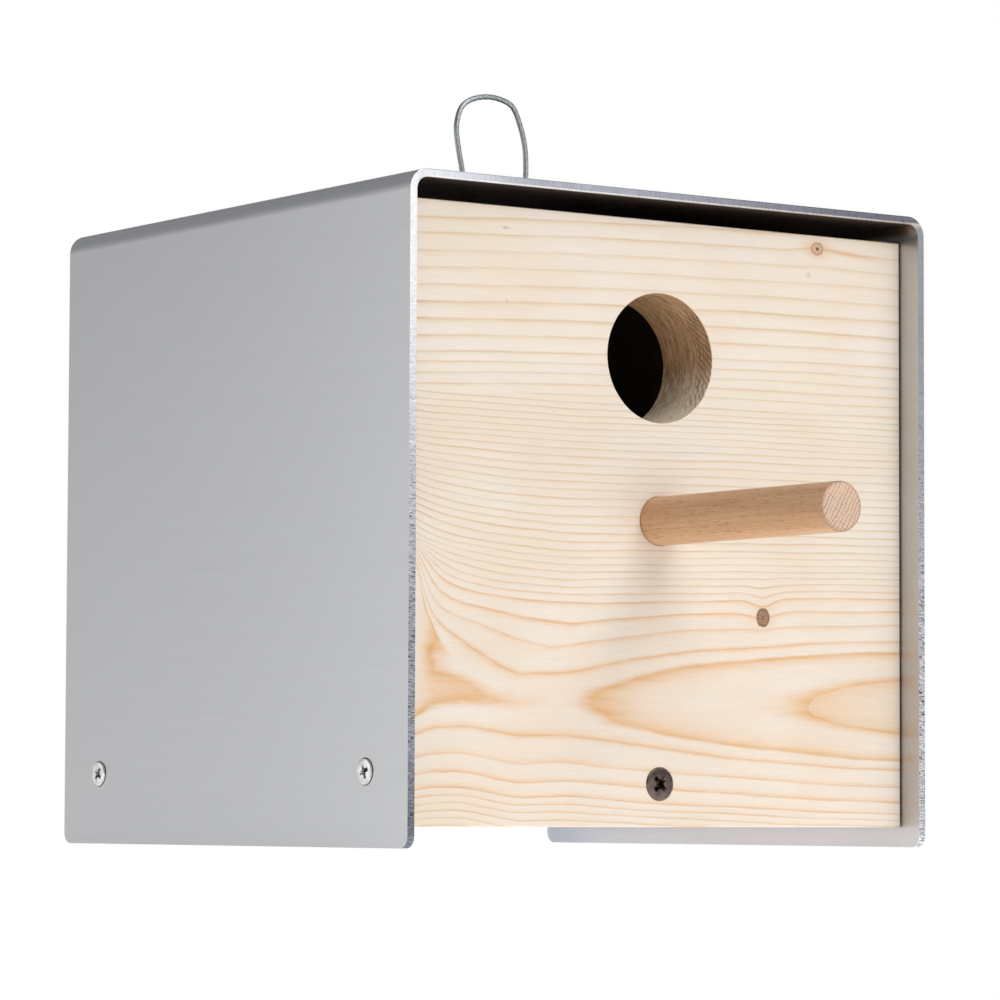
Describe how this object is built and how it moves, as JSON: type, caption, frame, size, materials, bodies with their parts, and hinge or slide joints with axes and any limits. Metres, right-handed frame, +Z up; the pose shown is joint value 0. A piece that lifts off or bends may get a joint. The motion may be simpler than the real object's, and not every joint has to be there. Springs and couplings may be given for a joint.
{
  "type": "birdhouse",
  "caption": "Wooden nesting box under a bent sheet-metal hood, with a round entrance, a dowel perch, a swivelling floor and a wire rope hanging loop.",
  "frame": {"origin": "on the plane of the hood's bottom edges, under the middle of the whole outline, perch included", "axes": "+Z up, the entrance and the perch face -Y, +X is to the right of someone looking at the entrance"},
  "size_m": [0.1584, 0.2248, 0.1947],
  "materials": {
    "hood_steel": "brushed front to back, satin",
    "spruce": "planed, untreated",
    "beech": "sanded, untreated",
    "bright_screw": "plain stainless",
    "dark_screw": "burnished",
    "rope": "stranded stainless wire",
    "sleeve": "crimped"
  },
  "bodies": {
    "house": {"hood": "hood_steel", "front_board": "spruce", "back_board": "spruce", "left_side_board": "spruce", "right_side_board": "spruce", "perch": "beech", "dowel_front_left_lower": "beech", "dowel_front_left_upper": "beech", "dowel_front_right_lower": "beech", "dowel_front_right_upper": "beech", "dowel_back_left_lower": "beech", "dowel_back_left_upper": "beech", "dowel_back_right_lower": "beech", "dowel_back_right_upper": "beech", "hood_screw_left_front": "bright_screw", "hood_screw_left_back": "bright_screw", "hood_screw_right_front": "bright_screw", "hood_screw_right_back": "bright_screw"},
    "floor": {"floor_board": "spruce", "floor_screw_front": "dark_screw", "floor_screw_back": "dark_screw"},
    "loop": {"hanging_loop": "rope", "loop_sleeve": "sleeve"}
  },
  "joints": [
    {"name": "floor_swivel", "type": "hinge", "parent": "house", "child": "floor", "pos_m": [0, 0.0316, 0.0155], "axis": [0, 1, 0], "continuous": true},
    {"name": "loop_lift", "type": "slide", "parent": "house", "child": "loop", "axis": [0, 0, 1], "range_m": [0, 0.005]}
  ]
}
